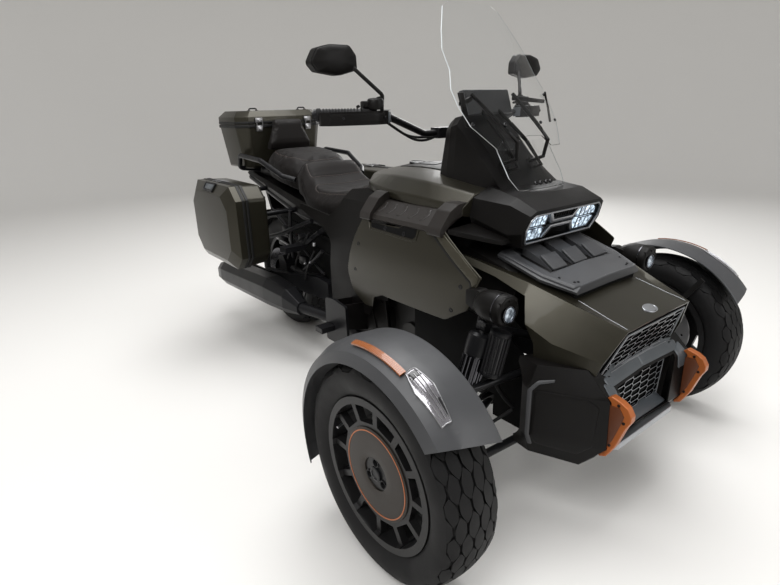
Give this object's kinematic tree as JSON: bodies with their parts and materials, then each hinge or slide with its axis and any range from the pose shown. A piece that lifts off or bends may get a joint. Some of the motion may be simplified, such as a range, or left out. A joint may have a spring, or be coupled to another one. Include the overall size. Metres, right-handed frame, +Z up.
{
  "type": "three-wheeled motorcycle",
  "caption": "Three-wheeled open motorcycle with two steered front wheels, a clear windshield, two seats in line, a hard top case and hard side cases with hinged lids.",
  "frame": {"origin": "on the ground at the centre of the overall length and width", "axes": "-Y forwards, +X to the vehicle's left, +Z up"},
  "size_m": [1.574, 2.5, 1.4799],
  "materials": {
    "olive_paint": "satin",
    "black_plastic": "textured",
    "grey_plastic": "matte",
    "black_metal": "satin",
    "cast_alloy": "cast",
    "steel": "machined",
    "rim_paint": "satin",
    "tyre_rubber": "tread",
    "belt_rubber": "matte",
    "orange_paint": "satin",
    "silver_paint": "satin",
    "lamp_glass": "clear",
    "red_lens": "lens",
    "clear_screen": "clear",
    "seat_leather": "stitched",
    "spring_steel": "gloss"
  },
  "bodies": {
    "chassis": {"backrest": "seat_leather", "belly_pan": "black_plastic", "bumper_guards": "orange_paint", "cargo_boards": "black_plastic", "case_carrier": "black_metal", "dash_cowl": "black_plastic", "display": "grey_plastic", "drive_belt": "belt_rubber", "engine": "cast_alloy", "exhaust": "black_metal", "foot_pegs": "black_metal", "frame": "black_metal", "front_bumper": "black_plastic", "front_tub": "black_plastic", "grab_handles": "black_metal", "headlamps": "lamp_glass", "hood_scoop": "grey_plastic", "lamp_housing": "black_plastic", "nose_cowl": "olive_paint", "nose_grilles": "black_plastic", "passenger_seat": "seat_leather", "rear_fender": "black_plastic", "rider_seat": "seat_leather", "side_cases": "olive_paint", "side_lamps": "black_plastic", "side_panels": "olive_paint", "skid_lip": "silver_paint", "spring_dampers": "spring_steel", "steering_rack": "black_metal", "swing_arm": "black_metal", "tail_covers": "black_plastic", "tail_lamps": "red_lens", "tank_cover": "olive_paint", "top_case": "olive_paint", "tow_hitch": "black_metal", "windshield": "clear_screen", "wishbones": "black_metal"},
    "steering_bar": {"handlebar": "black_metal", "hand_guards": "black_plastic", "mirrors": "black_plastic"},
    "steering_links": {"steering_links": "black_metal"},
    "knuckle_left": {"knuckle_left": "cast_alloy", "fender_left": "grey_plastic", "fender_lamp_left": "lamp_glass"},
    "knuckle_right": {"knuckle_right": "cast_alloy", "fender_right": "grey_plastic", "fender_lamp_right": "lamp_glass"},
    "wheel_front_left": {"front_tyre_left": "tyre_rubber", "front_rim_left": "rim_paint", "brake_disc_left": "steel"},
    "wheel_front_right": {"front_tyre_right": "tyre_rubber", "front_rim_right": "rim_paint", "brake_disc_right": "steel"},
    "wheel_rear": {"rear_tyre": "tyre_rubber", "rear_rim": "rim_paint", "rear_sprocket_and_disc": "steel"},
    "top_lid": {"top_case_lid": "olive_paint"},
    "side_lid_left": {"side_case_lid_left": "olive_paint"},
    "side_lid_right": {"side_case_lid_right": "olive_paint"}
  },
  "joints": [
    {"name": "steering", "type": "hinge", "parent": "chassis", "child": "steering_bar", "pos_m": [0, -0.368, 1.09], "axis": [0, 0.2873, 0.9578], "range_deg": [-35, 35]},
    {"name": "rack_slide", "type": "slide", "parent": "chassis", "child": "steering_links", "axis": [1, 0, 0], "range_m": [-0.055, 0.055]},
    {"name": "kingpin_left", "type": "hinge", "parent": "chassis", "child": "knuckle_left", "pos_m": [0.595, -0.88, 0.298], "axis": [0, 0, 1], "range_deg": [-29, 29]},
    {"name": "kingpin_right", "type": "hinge", "parent": "chassis", "child": "knuckle_right", "pos_m": [-0.595, -0.88, 0.298], "axis": [0, 0, 1], "range_deg": [-29, 29]},
    {"name": "front_wheel_left_spin", "type": "hinge", "parent": "knuckle_left", "child": "wheel_front_left", "pos_m": [0.69, -0.88, 0.298], "axis": [1, 0, 0], "continuous": true},
    {"name": "front_wheel_right_spin", "type": "hinge", "parent": "knuckle_right", "child": "wheel_front_right", "pos_m": [-0.69, -0.88, 0.298], "axis": [1, 0, 0], "continuous": true},
    {"name": "rear_wheel_spin", "type": "hinge", "parent": "chassis", "child": "wheel_rear", "pos_m": [0, 0.82, 0.315], "axis": [1, 0, 0], "continuous": true},
    {"name": "top_lid_hinge", "type": "hinge", "parent": "chassis", "child": "top_lid", "pos_m": [0, 1.224, 1.101], "axis": [-1, 0, 0], "range_deg": [0, 75]},
    {"name": "side_lid_left_hinge", "type": "hinge", "parent": "chassis", "child": "side_lid_left", "pos_m": [0.4465, 0.725, 0.462], "axis": [0, 1, 0], "range_deg": [0, 80]},
    {"name": "side_lid_right_hinge", "type": "hinge", "parent": "chassis", "child": "side_lid_right", "pos_m": [-0.4465, 0.725, 0.462], "axis": [0, -1, 0], "range_deg": [0, 80]}
  ],
  "couplings": [
    {"joint": "rack_slide", "follows": "steering", "m_per_rad": -0.0845},
    {"joint": "kingpin_left", "follows": "steering", "ratio": 0.8},
    {"joint": "kingpin_right", "follows": "steering", "ratio": 0.8}
  ]
}
